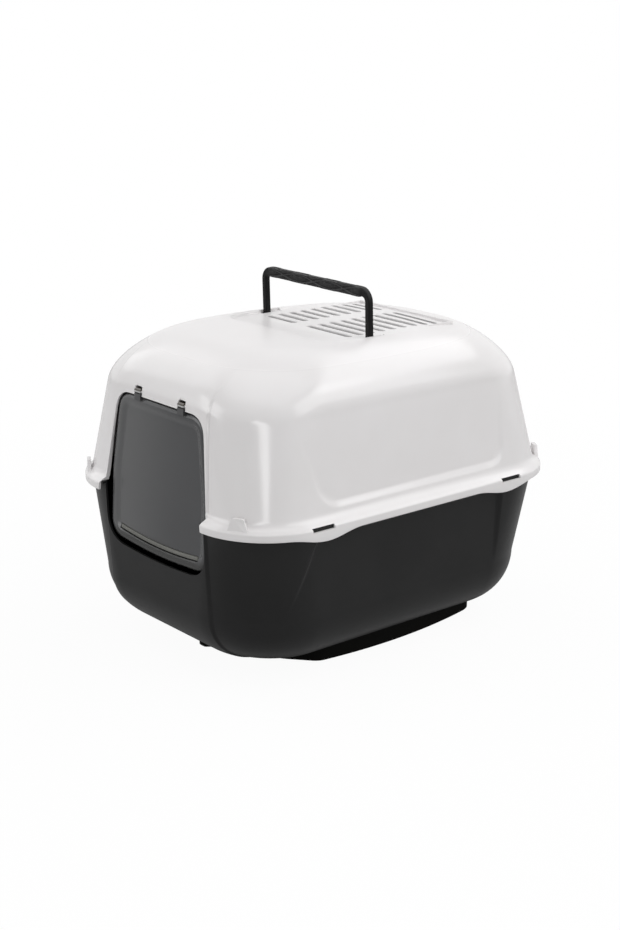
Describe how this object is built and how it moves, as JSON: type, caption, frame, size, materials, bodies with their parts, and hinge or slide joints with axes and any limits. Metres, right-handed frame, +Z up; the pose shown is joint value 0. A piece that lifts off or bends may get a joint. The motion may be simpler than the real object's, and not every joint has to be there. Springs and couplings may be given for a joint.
{
  "type": "hooded cat litter box",
  "caption": "Covered cat litter box: a deep tub with a clip-on hood, a swinging door flap, a folding carry handle and a slide-in charcoal filter.",
  "frame": {"origin": "on the floor, under the middle of the rim's outline", "axes": "+Z up, the doorway faces -Y, +X along the width"},
  "size_m": [0.395, 0.514, 0.4367],
  "materials": {
    "tray_plastic": "charcoal, satin moulded polypropylene",
    "hood_plastic": "near-white, softly glossy polypropylene",
    "flap_plastic": "smoked grey, glossy",
    "handle_plastic": "black, fine satin",
    "holder_plastic": "off-white, satin",
    "carbon_felt": "black activated-carbon felt"
  },
  "bodies": {
    "tray": {"base_tray": "tray_plastic"},
    "hood": {"hood": "hood_plastic"},
    "flap": {"door_flap": "flap_plastic"},
    "handle": {"carry_handle": "handle_plastic"},
    "filter": {"filter_holder": "holder_plastic", "charcoal_filter": "carbon_felt"}
  },
  "joints": [
    {"name": "hood_lift", "type": "slide", "parent": "tray", "child": "hood", "axis": [0, 0, 1], "range_m": [0, 0.25]},
    {"name": "flap_swing", "type": "hinge", "parent": "hood", "child": "flap", "pos_m": [0, -0.2353, 0.3215], "axis": [1, 0, 0], "range_deg": [-85, 80]},
    {"name": "handle_fold", "type": "hinge", "parent": "hood", "child": "handle", "pos_m": [0, -0.001, 0.373], "axis": [-1, 0, 0], "range_deg": [-40, 64]},
    {"name": "filter_pull", "type": "slide", "parent": "hood", "child": "filter", "axis": [0, -1, 0], "range_m": [0, 0.135]}
  ]
}
